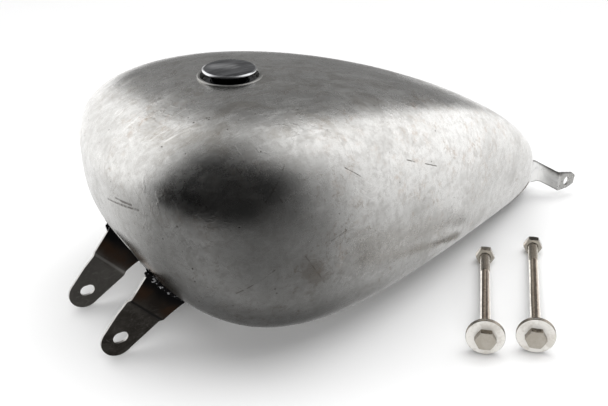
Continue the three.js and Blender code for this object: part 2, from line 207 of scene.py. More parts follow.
def keep_faces(obj, test):
    """Deletes the faces that fail a test."""
    def drop(bm):
        bmesh.ops.delete(bm, geom=[f for f in bm.faces if not test(f)], context="FACES")

    return edited(obj, drop)


def bake(obj):
    """Applies the modifiers."""
    bpy.context.view_layer.update()
    graph = bpy.context.evaluated_depsgraph_get()
    mesh = bpy.data.meshes.new_from_object(obj.evaluated_get(graph))
    obj.modifiers.clear()
    old, obj.data = obj.data, mesh
    bpy.data.meshes.remove(old)
    return obj


def boolean(obj, cutter, operation="DIFFERENCE"):
    """Cuts one closed mesh with another, exactly."""
    m = obj.modifiers.new("cut", "BOOLEAN")
    m.operation, m.object, m.solver = operation, cutter, "EXACT"
    return bake(obj)


def copy_of(obj, name):
    made = obj.copy()
    made.data = obj.data.copy()
    made.name = name
    bpy.context.scene.collection.objects.link(made)
    return made


def discard(*objs):
    for o in objs:
        bpy.data.objects.remove(o)


def smooth(obj, angle=35):
    """Smooth shading, with sharp edges past an angle in degrees."""
    obj.data.shade_smooth()
    obj.data.set_sharp_from_angle(angle=math.radians(angle))
    return obj


def modifier(obj, kind, **values):
    m = obj.modifiers.new(kind.lower(), kind)
    for k, v in values.items():
        setattr(m, k, v)
    return m


def solidify(obj, thickness):
    """Gives a surface a thickness in millimetres, inwards."""
    modifier(obj, "SOLIDIFY", thickness=thickness * MM, offset=-1, use_even_offset=True, use_rim=True)
    return smooth(bake(obj))


def bevel(obj, width, segments, angle):
    """Rounds the edges sharper than an angle in degrees, by a width in millimetres."""
    modifier(obj, "BEVEL", width=width * MM, segments=segments, limit_method="ANGLE",
             angle_limit=math.radians(angle), use_clamp_overlap=True, harden_normals=False)
    return obj


def fillet(profile, radius, steps=4):
    """Rounds the corners of a closed profile of (radius, height). A point may bring its own corner radius."""
    made = []
    count = len(profile)
    for i, here in enumerate(profile):
        r = here[2] if len(here) > 2 else radius
        p = np.array(here[:2], float)
        a = np.array(profile[i - 1][:2], float) - p
        b = np.array(profile[(i + 1) % count][:2], float) - p
        la, lb = np.linalg.norm(a), np.linalg.norm(b)
        a, b = a / la, b / lb
        half = math.acos(max(-1, min(1, float(a @ b)))) / 2
        if r <= 0 or here[0] <= 1e-6 or half > math.radians(86):
            made.append(tuple(p))
            continue
        reach = min(r / math.tan(half), 0.45 * la, 0.45 * lb)
        r = reach * math.tan(half)
        middle = (a + b) / np.linalg.norm(a + b)
        centre = p + middle * r / math.sin(half)
        start, end = p + a * reach - centre, p + b * reach - centre
        turn = math.atan2(start[0] * end[1] - start[1] * end[0], float(start @ end))
        for k in range(steps + 1):
            c, s = math.cos(turn * k / steps), math.sin(turn * k / steps)
            q = centre + np.array([c * start[0] - s * start[1], s * start[0] + c * start[1]])
            made.append((max(q[0], 0.0), q[1]))
    return made


def lathe(name, profile, radius, segments, place=None):
    """A turned piece: closed profile of (radius, height) in millimetres, placed by a 4x4 matrix in metres."""
    vertices, rings = [], []
    for r, h in fillet(profile, radius):
        if r <= 1e-6:
            rings.append([len(vertices)] * segments)
            vertices.append((0, 0, h))
            continue
        rings.append(list(range(len(vertices), len(vertices) + segments)))
        vertices += [(x, y, h) for x, y in ring_of(r, segments)]
    faces = []
    for low, high in zip(rings, rings[1:] + rings[:1]):
        for k in range(segments):
            n = (k + 1) % segments
            corners = list(dict.fromkeys((low[k], low[n], high[n], high[k])))
            if len(corners) > 2:
                faces.append(corners)
    made = faced_out(obj_of(name, np.array(vertices) * MM, faces, metres=True))
    if place is not None:
        made.data.transform(place)
    return smooth(made, 40)


def mark(obj, index):
    """Gives every face a material slot's number, to find the faces again after a cut."""
    while len(obj.data.materials) < 2:
        obj.data.materials.append(None)
    for f in obj.data.polygons:
        f.material_index = index
    return obj


# the cutting shapes reach well past the body wherever their size doesn't matter
def prism(name, outline, low, high):
    """An outline of (x, z) extruded along Y."""
    n = len(outline)
    vertices = [(x, y, z) for y in (low, high) for x, z in outline]
    faces = [list(range(n)), list(range(2 * n - 1, n - 1, -1)), *band(n, 0, n)]
    return faced_out(obj_of(name, vertices, faces))


def cylinder(name, x, y, radius, low, high, segments=96):
    """An upright cylinder."""
    n = segments
    vertices = [(a, b, z) for z in (low, high) for a, b in ring_of(radius, n, (x, y))]
    faces = [list(range(n - 1, -1, -1)), list(range(n, 2 * n)), *band(n, 0, n)]
    return mark(obj_of(name, vertices, faces), 1)


def body_solid(name, around=320, along=240):
    """The whole body as one closed surface. The skins and the pan are cut from it."""
    u, v = np.meshgrid(np.arange(around) / around, np.arange(1, along) / along, indexing="ij")
    vertices = body_points(u, v).transpose(1, 0, 2).reshape(-1, 3).tolist()
    nose, tail = len(vertices), len(vertices) + 1
    vertices += [[0, 0, NOSE_HEIGHT], [TANK_LENGTH, 0, TAIL_HEIGHT]]
    faces = []
    for j in range(along - 2):
        faces += band(around, j * around, (j + 1) * around)
    last = (along - 2) * around
    for i in range(around):
        k = (i + 1) % around
        faces.append([nose, k, i])
        faces.append([tail, last + i, last + k])
    return mark(faced_out(obj_of(name, vertices, faces)), 0)


def tunnel(name, grow):
    """The space of the tunnel, open below, made larger by grow on its sides and roof."""
    corner = 0.3  # the roof's round corners, as a share of the half width
    middle = 1 - corner
    turns = [corner * np.array([math.cos(a), math.sin(a)]) for a in np.linspace(0, math.pi, 17)]
    arch = [(-1, 0), (1, 0)]
    arch += [(middle + c, middle + s) for c, s in turns[:9]]
    arch += [(c - middle, middle + s) for c, s in turns[8:]]
    floor_z = -30
    vertices = []
    for x in (-160.0, ROOF_BEND_X, 560.0):
        half = TUNNEL_FRONT_HALF + (TUNNEL_REAR_HALF - TUNNEL_FRONT_HALF) * x / TANK_LENGTH + grow
        past = max(x - ROOF_BEND_X, 0) / (TANK_LENGTH - ROOF_BEND_X)
        rise = ROOF_HEIGHT + (ROOF_REAR_HEIGHT - ROOF_HEIGHT) * past + grow - floor_z
        vertices += [(x, a * half, floor_z + b * rise) for a, b in arch]
    n = len(arch)
    faces = [list(range(n)), list(range(3 * n - 1, 2 * n - 1, -1)), *band(n, 0, n), *band(n, n, 2 * n)]
    return mark(faced_out(obj_of(name, vertices, faces)), 1)


def pan_zone(name, grow):
    """The space of the bottom pan: all that lies under its seam, and grow more."""
    stations = np.arange(SEAM_FRONT_X + 18, SEAM_REAR_X + 1, 10.25)
    line = [(x, float(section(x)[2]) + SEAM_LIP + grow) for x in stations]
    end = float(section(SEAM_REAR_X)[2]) + SEAM_LIP + grow
    outline = [(SEAM_FRONT_X - grow, -60), *line, (570, end), (570, -60)]
    return mark(prism(name, outline, -250, 250), 1)


def bead(name, path, normals, width, height, pitch):
    """A weld bead: overlapping crescents laid along a path on a surface, in millimetres."""
    path, normals = np.asarray(path, float), np.asarray(normals, float)
    s = np.concatenate([[0], np.cumsum(np.linalg.norm(np.diff(path, axis=0), axis=1))])
    count = max(int(s[-1] / pitch * 6), 12)
    at = np.linspace(0, s[-1], count)
    p = np.stack([np.interp(at, s, path[:, k]) for k in range(3)], -1)
    n = np.stack([np.interp(at, s, normals[:, k]) for k in range(3)], -1)
    n /= np.linalg.norm(n, axis=1, keepdims=True)
    t = np.gradient(p, axis=0)
    t /= np.linalg.norm(t, axis=1, keepdims=True)
    b = np.cross(t, n)
    ends = np.clip(np.minimum(at, at[-1] - at) / (1.2 * pitch), 0, 1) ** 0.5
    wobble = 1 + 0.1 * np.sin(at * 0.9) + 0.07 * np.sin(at * 2.3 + 1)
    across, sunk = 11, 0.35
    vertices = []
    for i in range(count):
        for w in np.linspace(-1, 1, across):
            phase = (at[i] / pitch + 0.45 * w * w) % 1
            crest = 0.62 + 0.38 * (1 - phase) ** 0.7
            lift = height * math.sqrt(max(1 - w * w, 0)) * crest * ends[i] - sunk
            side = width / 2 * w * wobble[i] * (0.35 + 0.65 * ends[i])
            vertices.append(p[i] + b[i] * side + n[i] * lift)
    faces = [[i * across + k, i * across + k + 1, (i + 1) * across + k + 1, (i + 1) * across + k]
             for i in range(count - 1) for k in range(across - 1)]

    def lie_upwards(bm):
        bmesh.ops.recalc_face_normals(bm, faces=bm.faces)
        nearest = [Vector(n[i // (across - 1)]) for i in range(len(bm.faces))]
        if sum(f.normal.dot(up) for f, up in zip(bm.faces, nearest)) < 0:
            bmesh.ops.reverse_faces(bm, faces=bm.faces)

    made = edited(obj_of(name, vertices, faces), lie_upwards)
    made.data.shade_smooth()
    return made


# ---- shader helpers ----
class Shader:
    """A material and short calls that add nodes to it."""

    def __init__(self, name):
        self.material = bpy.data.materials.new(name)
        self.material.use_nodes = True
        self.tree = self.material.node_tree
        self.bsdf = self.tree.nodes["Principled BSDF"]
        places = self.tree.nodes.new("ShaderNodeTexCoord").outputs
        self.where, self.normal = places["Object"], places["Normal"]

    def node(self, kind, inputs=(), **props):
        made = self.tree.nodes.new("ShaderNode" + kind)
        for k, v in props.items():
            setattr(made, k, v)
        for k, v in dict(inputs).items():
            self.feed(made.inputs[k], v)
        return made

    def feed(self, socket, value):
        if isinstance(value, bpy.types.NodeSocket):
            self.tree.links.new(value, socket)
        elif isinstance(value, (tuple, list)) and len(value) == 3 and socket.type == "RGBA":
            socket.default_value = (*value, 1)
        else:
            socket.default_value = value

    def set(self, **values):
        for k, v in values.items():
            self.feed(self.bsdf.inputs[k.replace("_", " ")], v)
        return self

    def finished(self, color, rough, normal, metallic=1.0):
        return self.set(Base_Color=color, Metallic=metallic, Roughness=rough, Normal=normal).material

    def scaled(self, factors):
        return self.node("Mapping", {"Vector": self.where, "Scale": factors}).outputs[0]

    def noise(self, scale, detail=4, rough=0.55, vector=None, distortion=0.0):
        inputs = {"Vector": vector or self.where, "Scale": scale, "Detail": detail, "Roughness": rough}
        return self.node("TexNoise", {**inputs, "Distortion": distortion}).outputs["Fac"]

    def ramp(self, value, low, high, out_low=0.0, out_high=1.0):
        """A smooth step: out_low where value is low, out_high where it is high."""
        inputs = {"Value": value, "From Min": low, "From Max": high, "To Min": out_low, "To Max": out_high}
        return self.node("MapRange", inputs, interpolation_type="SMOOTHSTEP").outputs[0]

    def math(self, op, a, b=0.0, clamp=False):
        return self.node("Math", {0: a, 1: b}, operation=op, use_clamp=clamp).outputs[0]

    def times(self, *values):
        made = values[0]
        for value in values[1:]:
            made = self.math("MULTIPLY", made, value)
        return made

    def joined(self, op, values):
        """Every value joined into one by a two-input operation."""
        made = None
        for value in values:
            made = value if made is None else self.math(op, made, value)
        return made

    def dot(self, direction, vector):
        inputs = {0: vector, 1: tuple(direction)}
        return self.node("VectorMath", inputs, operation="DOT_PRODUCT").outputs["Value"]

    def mix(self, factor, a, b):
        made = self.node("Mix", (), data_type="RGBA")
        for socket, value in ((0, factor), (6, a), (7, b)):
            self.feed(made.inputs[socket], value)
        return made.outputs[2]

    def layer(self, color, value, none, full, share, tint):
        """Lays a tint over a colour: nothing of it where value is none, a share of it where value is full."""
        return self.mix(self.ramp(value, none, full, 0, share), color, tint)

    def axis(self, k):
        return self.node("SeparateXYZ", {0: self.where}).outputs[k]

    def facing(self, k):
        """The part of the surface's direction that goes along axis k."""
        return self.node("SeparateXYZ", {0: self.normal}).outputs[k]

    def centred(self, noise):
        return self.math("SUBTRACT", noise, 0.5)

    def veins(self, noise, full, none):
        """Thin lines where a noise crosses its middle value."""
        return self.ramp(self.math("ABSOLUTE", self.centred(noise)), full, none, 1, 0)

    def ragged(self, distance, noise, depth):
        """A distance that a noise makes uneven."""
        return self.math("ADD", distance, self.times(self.centred(noise), depth))

    def along(self, direction, origin):
        """Distance in metres from origin along a direction."""
        d = Vector(direction).normalized()
        return self.math("SUBTRACT", self.dot(d, self.where), d.dot(Vector(origin)))

    def to_segment(self, a, b, vector=None):
        """Distance in metres from the segment a-b."""
        a, b = Vector(a), Vector(b)
        ab = b - a
        place = vector or self.where
        away = self.node("VectorMath", {0: place, 1: tuple(a)}, operation="SUBTRACT").outputs[0]
        share = self.math("ADD", self.dot(ab / ab.length_squared, away), 0.0, clamp=True)
        near = self.node("VectorMath", {0: tuple(ab), "Scale": share}, operation="SCALE").outputs[0]
        gap = self.node("VectorMath", {0: away, 1: near}, operation="SUBTRACT").outputs[0]
        return self.node("VectorMath", {0: gap}, operation="LENGTH").outputs["Value"]

    def bump(self, height, distance, strength=1.0, normal=None):
        inputs = {"Height": height, "Distance": distance, "Strength": strength}
        if normal is not None:
            inputs["Normal"] = normal
        return self.node("Bump", inputs).outputs[0]


# ---- materials ----
TAB_WAY = (math.cos(TAB_LEAN), 0, math.sin(TAB_LEAN))
TAB_BASES = [tuple(row(tab_base(side, TAB_FACE_Y)[[0, -1]])) for side in (-1, 1)]

# dark scratches: two ends on the steel, and the distance in metres over which each fades
SCRATCHES = [
    ((2, -36, 152), (4, -47, 153), 0.0014),
    ((4, -47, 153), (7, -61, 155), 0.0019),
    ((1, -20, 144), (3, -40, 148), 0.0014),
    ((3, -40, 148), (5.5, -55, 151), 0.0018),
    ((5.5, -55, 151), (9, -70, 154), 0.0016),
    ((237, -125, 163), (247, -123.5, 158), 0.0009),
    ((262, -120.5, 151), (280, -116, 142), 0.0008),
    ((161, -139, 181), (174.5, -141.5, 171), 0.0008),
]
# thin marks down the left side: x and z of both ends
HAIRLINES = [
    ((108, 195), (83, 175)), ((90, 187), (96, 173)), ((77, 170), (80, 172)),
    ((52, 162), (56, 155)), ((112, 123), (131, 91)), ((137, 129), (153, 133)),
    ((145, 142), (153, 133)), ((105, 164), (106, 163)), ((58, 97), (86, 117)),
]
# painted shade along the rear ear's edges: x and z of both ends, the distance in metres over which it fades,
# strength
EAR_EDGE_SHADE = [
    ((505, 51.6), (523, 45.4), 0.0026, 1), ((523, 45.4), (543, 32.6), 0.0030, 1),
    ((543, 32.6), (566, 26.9), 0.0020, 0.8), ((566, 26.9), (572, 21.9), 0.0014, 0.5),
    ((519, 17.9), (531, 16.9), 0.0016, 0.8), ((531, 16.9), (545, 8.2), 0.0016, 0.8),
    ((545, 8.2), (561, 8.2), 0.0014, 0.6),
]


def side_line(s, a, b):
    """Distance in metres from a line between two (x, z) places, seen from the side."""
    return s.to_segment(row([a[0], 0, a[1]]), row([b[0], 0, b[1]]), s.scaled((1, 0, 1)))


def from_tab_welds(s):
    """Distance in metres from the nearer front tab's weld."""
    return s.joined("MINIMUM", [s.to_segment(a, b) for a, b in TAB_BASES])


def mottled(s, cloudy, streak, fine):
    """The greys of the bare sheet, from broad clouds to fine speckle, and stains on its top."""
    mottle = s.noise(120, 6, 0.72, distortion=0.4)
    wiped = s.noise(34, 6, 0.7, s.scaled((3.4, 1.0, 1.0)), 0.8)
    color = s.mix(s.ramp(s.noise(7, 5, 0.6), 0.38, 0.62), (0.515, 0.51, 0.495), (0.665, 0.66, 0.645))
    color = s.layer(color, cloudy, 0.50, 0.64, 0.28, (0.37, 0.36, 0.34))
    color = s.layer(color, streak, 0.53, 0.70, 0.28, (0.80, 0.795, 0.78))
    color = s.layer(color, wiped, 0.54, 0.72, 0.26, (0.82, 0.815, 0.80))
    color = s.layer(color, mottle, 0.50, 0.64, 0.24, (0.35, 0.34, 0.32))
    color = s.layer(color, mottle, 0.48, 0.38, 0.14, (0.83, 0.825, 0.81))
    color = s.layer(color, fine, 0.50, 0.60, 0.26, (0.38, 0.36, 0.34))
    top = s.ramp(s.facing(2), 0.70, 0.93)
    patch = s.ramp(s.noise(19, 7, 0.72, distortion=1.4), 0.47, 0.60, 0, 0.42)
    color = s.mix(s.times(top, patch), color, (0.31, 0.285, 0.25))
    smear = s.ramp(s.noise(26, 7, 0.75, s.scaled((0.9, 3.4, 1.0)), 0.6), 0.52, 0.66, 0, 0.5)
    return s.mix(s.times(top, smear), color, (0.84, 0.835, 0.82))


def scratched(s):
    """How much of a dark scratch is at each place."""
    lines = [s.ramp(s.to_segment(row(a), row(b)), 0.0002, fade, 1, 0) for a, b, fade in SCRATCHES]
    return s.times(s.joined("MAXIMUM", lines), s.ramp(s.noise(240, 4, 0.7), 0.38, 0.52, 0.35, 1))


def left_side_marks(s, color):
    """Hairlines and a brown smudge, on the left side only."""
    lines = [s.ramp(side_line(s, a, b), 0.0001, 0.0008, 1, 0) for a, b in HAIRLINES]
    hairs = s.times(s.joined("MAXIMUM", lines), s.ramp(s.axis(1), -0.02, -0.04))
    hairs = s.times(hairs, s.ramp(s.noise(150, 4, 0.7), 0.42, 0.54, 0.1, 1))
    color = s.mix(s.times(hairs, 0.6), color, (0.15, 0.13, 0.11))
    smudge = s.ragged(side_line(s, (118, 109), (124, 97)), s.noise(75, 6, 0.7), 0.05)
    smudge = s.times(s.ramp(smudge, 0.004, 0.015, 1, 0), s.ramp(s.axis(1), -0.02, -0.04, 0, 0.5))
    return s.mix(smudge, color, (0.24, 0.205, 0.17))


def raw_steel():
    """Bare pressed steel with stains, rust, pits and scratches, burnt round the tabs' welds, where the black
    band is heat tint and partly a painted shade cast by the tabs.
    """
    s = Shader("raw_steel")
    cloudy = s.noise(26, 6, 0.65, distortion=0.6)
    streak = s.noise(22, 7, 0.7, s.scaled((1.0, 4.5, 4.5)))
    fine = s.noise(150, 5, 0.7)
    color = mottled(s, cloudy, streak, fine)
    threads = s.veins(s.noise(30, 4, 0.55, distortion=1.8), 0.002, 0.013)
    threads = s.times(threads, s.ramp(s.noise(23, 3), 0.50, 0.58), s.ramp(fine, 0.44, 0.54), 0.5)
    color = s.mix(threads, color, (0.27, 0.22, 0.17))
    folds = s.veins(s.noise(17, 5, 0.6, distortion=1.6), 0.002, 0.034)
    folds = s.times(folds, s.ramp(s.noise(13, 2), 0.46, 0.62))
    color = s.mix(s.times(folds, 0.14), color, (0.22, 0.20, 0.18))
    spots = s.node("TexVoronoi", {"Vector": s.where, "Scale": 95}).outputs["Distance"]
    pits = s.times(s.ramp(spots, 0.05, 0.10, 1, 0), s.ramp(s.noise(31, 2), 0.50, 0.58))
    color = s.mix(s.times(pits, 0.85), color, (0.10, 0.085, 0.07))
    rust = s.times(s.ramp(s.noise(90, 7, 0.75), 0.50, 0.70), s.ramp(s.noise(11, 3), 0.48, 0.62))
    color = s.mix(s.times(rust, 0.40), color, (0.36, 0.25, 0.17))
    heat = s.ragged(from_tab_welds(s), s.noise(70, 4), 0.012)
    color = s.mix(s.ramp(heat, 0.010, 0.034, 0.80, 0), color, (0.38, 0.25, 0.15))
    # the black band nearest the tabs' welds is heat tint and partly a painted shade cast by the tabs
    color = s.mix(s.ramp(heat, 0.006, 0.020, 1, 0), color, (0.040, 0.025, 0.018))
    worn = scratched(s)
    color = s.mix(s.times(worn, 0.9), color, (0.09, 0.08, 0.07))
    color = left_side_marks(s, color)
    rough = s.math("ADD", s.ramp(cloudy, 0.35, 0.7, 0.26, 0.34), s.ramp(streak, 0.4, 0.75, -0.03, 0.05))
    rough = s.math("ADD", rough, s.ramp(fine, 0.4, 0.7, -0.02, 0.03))
    tone = s.bump(s.noise(9, 2, 0.4), 0.004, 0.16)
    tone = s.bump(folds, 0.0006, 0.12, tone)
    tone = s.bump(fine, 0.0003, 0.16, tone)
    tone = s.bump(s.noise(650, 3, 0.6), 0.00006, 0.5, tone)
    tone = s.bump(s.times(s.math("ADD", pits, worn), -1.0), 0.0002, 0.5, tone)
    return s.finished(color, rough, tone)


def weld_steel():
    """The clean weld of the bottom seam."""
    s = Shader("weld_steel")
    n = s.noise(260, 5, 0.7)
    color = s.mix(s.ramp(n, 0.4, 0.65), (0.30, 0.28, 0.26), (0.62, 0.61, 0.59))
    color = s.layer(color, s.noise(60, 3), 0.5, 0.65, 0.6, (0.16, 0.12, 0.09))
    rough = s.ramp(n, 0.3, 0.7, 0.24, 0.5)
    tone = s.bump(s.noise(900, 4), 0.0001, 0.6)
    return s.finished(color, rough, tone)


def burnt_weld(name, fleck):
    """A black weld with flecks, from dark to bright."""
    s = Shader(name)
    n = s.noise(230, 3, 0.6)
    color = s.mix(s.ramp(n, 0.57, 0.62), (0.012, 0.011, 0.012), (fleck, fleck, fleck * 1.03))
    rough = s.ramp(n, 0.5, 0.6, 0.42, 0.16)
    tone = s.bump(s.noise(600, 4), 0.0002, 0.8)
    return s.finished(color, rough, tone, 0.9)


def pan_steel():
    """The duller steel of the underside."""
    s = Shader("pan_steel")
    cloudy = s.noise(24, 6, 0.65, distortion=0.6)
    streak = s.noise(35, 6, 0.7, s.scaled((1, 6, 6)))
    color = s.mix(s.ramp(cloudy, 0.38, 0.68), (0.34, 0.335, 0.32), (0.52, 0.515, 0.50))
    color = s.layer(color, streak, 0.55, 0.75, 0.3, (0.6, 0.595, 0.58))
    color = s.layer(color, s.noise(80, 7, 0.75), 0.62, 0.74, 0.4, (0.24, 0.16, 0.11))
    rough = s.ramp(cloudy, 0.3, 0.7, 0.34, 0.46)
    tone = s.bump(s.noise(12, 2, 0.4), 0.003, 0.3)
    tone = s.bump(s.noise(600, 3), 0.00006, 0.5, tone)
    return s.finished(color, rough, tone)


def heated_steel():
    """The front tabs: heat-blackened, scuffed, burnt at the weld, with bare edges, and a painted line at each
    tab's bend: a painted highlight on the right tab and a painted shade on the left.
    """
    s = Shader("heated_steel")
    heat = s.ragged(from_tab_welds(s), s.noise(45, 4), 0.014)
    cloudy = s.noise(60, 6, 0.7, distortion=0.8)
    smear = s.noise(110, 6, 0.75, s.scaled((1, 1, 2.6)), 1.0)
    scuffed = s.noise(95, 7, 0.8, distortion=2.0)
    color = s.mix(s.ramp(cloudy, 0.35, 0.7), (0.050, 0.044, 0.038), (0.105, 0.097, 0.086))
    color = s.layer(color, smear, 0.54, 0.70, 0.55, (0.24, 0.23, 0.215))
    color = s.layer(color, scuffed, 0.56, 0.68, 0.45, (0.30, 0.285, 0.265))
    right_side = s.ramp(s.axis(1), -0.01, 0.01)
    color = s.mix(s.times(right_side, 0.28), color, (0.34, 0.33, 0.31))
    color = s.mix(s.times(s.ramp(heat, 0.018, 0.036, 1, 0), 0.9), color, (0.024, 0.018, 0.014))
    brown = s.times(s.ramp(heat, 0.010, 0.018), s.ramp(heat, 0.020, 0.034, 1, 0))
    brown = s.times(brown, s.ramp(s.noise(38, 3), 0.42, 0.58), 0.8)
    color = s.mix(brown, color, (0.060, 0.032, 0.018))
    color = s.mix(s.ramp(heat, 0.008, 0.020, 0.95, 0), color, (0.006, 0.006, 0.007))
    # a painted line along each tab's bend: a painted highlight on the right tab, a painted shade on the left
    painted_bend_line = s.math("ABSOLUTE", s.math("SUBTRACT", s.along(TAB_WAY, row(TAB_END)), TAB_CREASE * MM))
    painted_bend_line = s.ramp(painted_bend_line, 0.0004, 0.0018, 1, 0)
    color = s.mix(s.times(painted_bend_line, s.times(right_side, 0.5)), color, (0.45, 0.44, 0.42))
    painted_bend_shade = s.times(painted_bend_line, s.math("SUBTRACT", 0.85, right_side, True))
    color = s.mix(painted_bend_shade, color, (0.012, 0.011, 0.010))
    edge = s.ramp(s.math("ABSOLUTE", s.facing(1)), 0.35, 0.8, 1, 0)
    edge = s.times(edge, s.ramp(s.noise(90, 5), 0.3, 0.5, 0.55, 1))
    color = s.mix(edge, color, (0.50, 0.49, 0.47))
    rough = s.ramp(cloudy, 0.3, 0.7, 0.30, 0.46)
    tone = s.bump(s.noise(35, 2), 0.0008, 0.3)
    tone = s.bump(scuffed, 0.0003, 0.2, tone)
    tone = s.bump(s.noise(700, 4), 0.00008, 0.6, tone)
    return s.finished(color, rough, tone, 0.9)


def bright_steel():
    """The rear ear: bright and hammered, with a painted shade in its bend, a painted highlight on its ridge,
    a painted light at its root and painted shade along its edges.
    """
    s = Shader("bright_steel")
    cloudy = s.noise(70, 6, 0.7)
    color = s.mix(s.ramp(cloudy, 0.35, 0.7), (0.66, 0.655, 0.64), (0.86, 0.855, 0.84))
    color = s.layer(color, s.noise(150, 6, 0.75), 0.58, 0.72, 0.5, (0.36, 0.33, 0.30))
    # a painted shade in the ear's bend and a painted highlight on its ridge; both also shape the bump
    dent_and_painted_shade = s.ragged(s.to_segment(row([533, -20, 43]), row([546, -38, 33])), s.noise(160, 4), 0.006)
    dent_and_painted_shade = s.ramp(dent_and_painted_shade, 0.003, 0.0085, 1, 0)
    color = s.mix(s.times(dent_and_painted_shade, 0.85), color, (0.16, 0.145, 0.135))
    ridge_and_painted_highlight = s.ramp(s.to_segment(row([534, -21, 31]), row([543, -36, 22])), 0.001, 0.004, 1, 0)
    color = s.mix(s.times(ridge_and_painted_highlight, 0.7), color, (0.95, 0.95, 0.94))
    # the root is painted near white and made less metallic: a painted light on the ear's base
    root = s.ramp(s.axis(0), 0.394, 0.410, 1, 0)
    color = s.mix(s.times(root, 0.75), color, (0.97, 0.968, 0.955))
    color = s.layer(color, s.axis(0), 0.4140, 0.4185, 0.6, (0.44, 0.43, 0.41))
    # painted shade along the ear's outline and on its faces that look up and down
    edges = [s.ramp(side_line(s, a, b), 0.0003, fade, share, 0) for a, b, fade, share in EAR_EDGE_SHADE]
    rim = s.joined("MAXIMUM", [s.ramp(s.math("ABSOLUTE", s.facing(2)), 0.45, 0.80), *edges])
    color = s.mix(s.times(rim, 0.85), color, (0.09, 0.085, 0.08))
    metal, rough = s.ramp(root, 0, 1, 0.6, 0.1), s.ramp(cloudy, 0.3, 0.7, 0.24, 0.38)
    tone = s.bump(s.noise(70, 3), 0.0022, 0.5)
    tone = s.bump(s.math("SUBTRACT", ridge_and_painted_highlight, dent_and_painted_shade), 0.0016, 0.8, tone)
    tone = s.bump(s.noise(900, 3), 0.00006, 0.5, tone)
    return s.finished(color, rough, tone, metal)


def zinc_with_painted_light(name, face, side, top, face_metal, painted_top_from=0.45, painted_top_full=0.88):
    """Zinc with painted light and shade by facing: faces square to a bolt take the face colour and less
    metal, rims and flats stay fully metallic in the side colour, faces that look up take the top colour.
    """
    s = Shader(name)
    cloudy, fine = s.noise(90, 6, 0.7), s.noise(420, 5, 0.7)
    bolt_way = (0.694, 0.718, -0.06)
    # the face, side and top colours are painted light and shade, chosen by which way a face looks
    square = s.ramp(s.math("ABSOLUTE", s.dot(bolt_way, s.normal)), 0.55, 0.93)
    upright = s.ramp(s.facing(2), painted_top_from, painted_top_full)
    color = s.mix(s.times(upright, s.ramp(fine, 0.35, 0.65, 1, 0.75)), side, top)
    color = s.mix(square, color, face)
    color = s.layer(color, cloudy, 0.44, 0.60, 0.40, (0.44, 0.39, 0.32))
    color = s.layer(color, fine, 0.58, 0.74, 0.40, (0.34, 0.30, 0.24))
    metal, rough = s.ramp(square, 0, 1, 1, face_metal), s.ramp(fine, 0.3, 0.7, 0.12, 0.24)
    tone = s.bump(s.noise(160, 3), 0.0003, 0.25)
    tone = s.bump(s.noise(1400, 3), 0.00004, 0.4, tone)
    return s.finished(color, rough, tone, metal)


def black_chrome():
    """The dark plating of the cap's stem and plug."""
    s = Shader("black_chrome")
    fine = s.noise(420, 5, 0.7)
    color = s.mix(s.ramp(s.noise(90, 6, 0.7), 0.35, 0.7), (0.035, 0.036, 0.04), (0.06, 0.06, 0.066))
    color = s.layer(color, fine, 0.6, 0.75, 0.35, (0.02, 0.02, 0.02))
    tone = s.bump(s.noise(160, 3), 0.0003, 0.25)
    tone = s.bump(s.noise(1400, 3), 0.00004, 0.4, tone)
    rough = s.ramp(fine, 0.3, 0.7, 0.10, 0.2)
    return s.finished(color, rough, tone)


def lid_chrome():
    """Dark chrome with a wiped, streaky top, a painted highlight across it and a painted highlight round its
    rim.
    """
    s = Shader("dark_chrome")
    turn = {"Vector": s.where, "Rotation": (0, 0, math.radians(32)), "Scale": (0.16, 1.0, 1.0)}
    streak = s.noise(210, 6, 0.7, s.node("Mapping", turn).outputs[0], 0.3)
    color = s.mix(s.ramp(streak, 0.36, 0.66), (0.075, 0.077, 0.085), (0.33, 0.335, 0.35))
    # a painted highlight across the lid, and a painted highlight on the rim's faces that don't look up
    painted_highlight = s.ramp(s.to_segment((-0.010, 0.009, 0.134), (0.003, 0.001, 0.134)), 0.001, 0.010, 1, 0)
    color = s.mix(s.times(painted_highlight, s.ramp(streak, 0.3, 0.6, 0.35, 0.9)), color, (0.78, 0.785, 0.80))
    color = s.mix(s.ramp(s.facing(2), 0.80, 0.985, 0.9, 0), color, (0.74, 0.745, 0.76))
    tone = s.bump(streak, 0.0002, 0.25)
    tone = s.bump(s.noise(1400, 3), 0.00004, 0.4, tone)
    rough = s.ramp(streak, 0.3, 0.7, 0.07, 0.16)
    return s.finished(color, rough, tone)


def rubber():
    s = Shader("rubber")
    n = s.noise(300, 5, 0.7)
    color = s.mix(s.ramp(n, 0.35, 0.7), (0.012, 0.012, 0.012), (0.030, 0.029, 0.028))
    tone = s.bump(s.noise(1500, 3), 0.00005, 0.6)
    return s.finished(color, s.ramp(n, 0.3, 0.7, 0.6, 0.8), tone, 0.0)


def drawn_wire():
    s = Shader("spring_steel")
    n = s.noise(500, 5, 0.7, s.scaled((1, 1, 4)))
    color = s.mix(s.ramp(n, 0.35, 0.7), (0.30, 0.30, 0.31), (0.50, 0.50, 0.51))
    rough = s.ramp(n, 0.3, 0.7, 0.22, 0.4)
    return s.finished(color, rough, s.bump(n, 0.00005, 0.5))


RAW, WELD, PAN = raw_steel(), weld_steel(), pan_steel()
BURNT, FLECKED = burnt_weld("burnt_weld", 0.05), burnt_weld("flecked_weld", 0.60)
HEATED, BRIGHT, WIRE, RUBBER = heated_steel(), bright_steel(), drawn_wire(), rubber()
BLACK_CHROME, DARK_CHROME = black_chrome(), lid_chrome()
